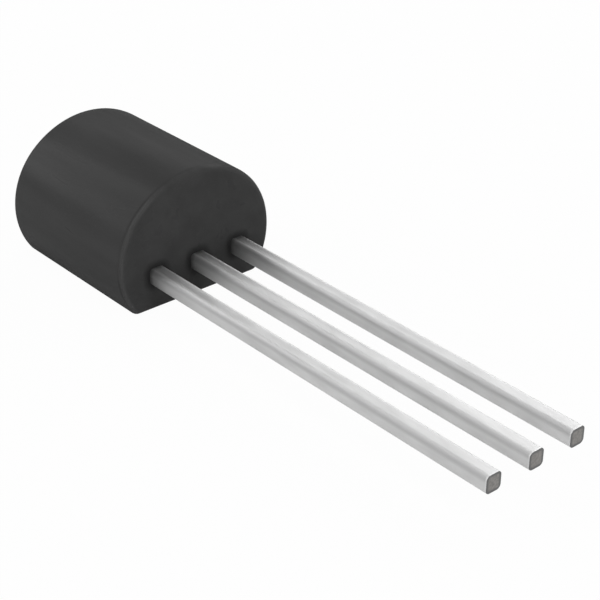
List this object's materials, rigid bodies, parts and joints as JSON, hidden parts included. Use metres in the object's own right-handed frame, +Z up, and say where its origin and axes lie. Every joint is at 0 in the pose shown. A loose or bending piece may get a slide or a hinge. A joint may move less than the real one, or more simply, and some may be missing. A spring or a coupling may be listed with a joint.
{
  "type": "shunt regulator",
  "caption": "Through-hole shunt regulator in a D-shaped black moulded body with straight tinned leads in one row, lying on its flat side.",
  "frame": {"origin": "middle of the body's flat side, halfway along the body", "axes": "+Y from the lead tips towards the far end of the body, +X across the row from the cathode lead to the reference lead, +Z up from the flat side to the crown"},
  "size_m": [0.0046, 0.0163, 0.0035],
  "materials": {
    "moulding": "fine matt black moulded epoxy",
    "tinned_lead": "matt tin plate on copper alloy",
    "silicon": "polished silicon",
    "silver_epoxy": "cured silver-filled epoxy",
    "gold_wire": "drawn gold wire"
  },
  "bodies": {
    "root": {"moulded_body": "moulding", "lead_cathode": "tinned_lead", "lead_anode": "tinned_lead", "lead_reference": "tinned_lead", "silicon_die": "silicon", "die_attach": "silver_epoxy", "bond_wire_cathode": "gold_wire", "bond_wire_anode": "gold_wire", "bond_wire_reference": "gold_wire"}
  },
  "joints": []
}
